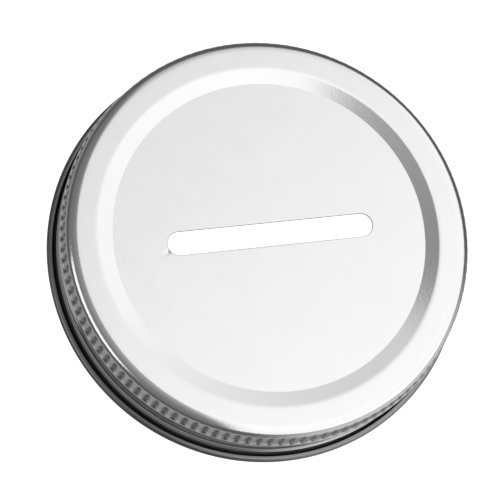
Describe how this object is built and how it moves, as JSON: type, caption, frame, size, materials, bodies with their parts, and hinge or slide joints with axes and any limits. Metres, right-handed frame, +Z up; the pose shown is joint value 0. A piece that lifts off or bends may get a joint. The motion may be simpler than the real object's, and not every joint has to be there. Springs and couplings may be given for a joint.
{
  "type": "coin slot jar lid",
  "caption": "Round pressed-metal screw lid for a wide-mouth jar, with a coin slot through its recessed top, a knurled grip, a rolled thread and a curled rim.",
  "frame": {"origin": "centre of the lid's footprint, on the plane that its curled rim stands on", "axes": "+Z up through the top panel along the thread's axis, +X along the coin slot, +Y across the slot"},
  "size_m": [0.091, 0.091, 0.0165],
  "materials": {
    "tinplate": "satin silver tinplate with a very fine grain",
    "plastisol": "soft off-white sealing compound"
  },
  "bodies": {
    "root": {"lid_shell": "tinplate", "sealing_gasket": "plastisol"}
  },
  "joints": []
}
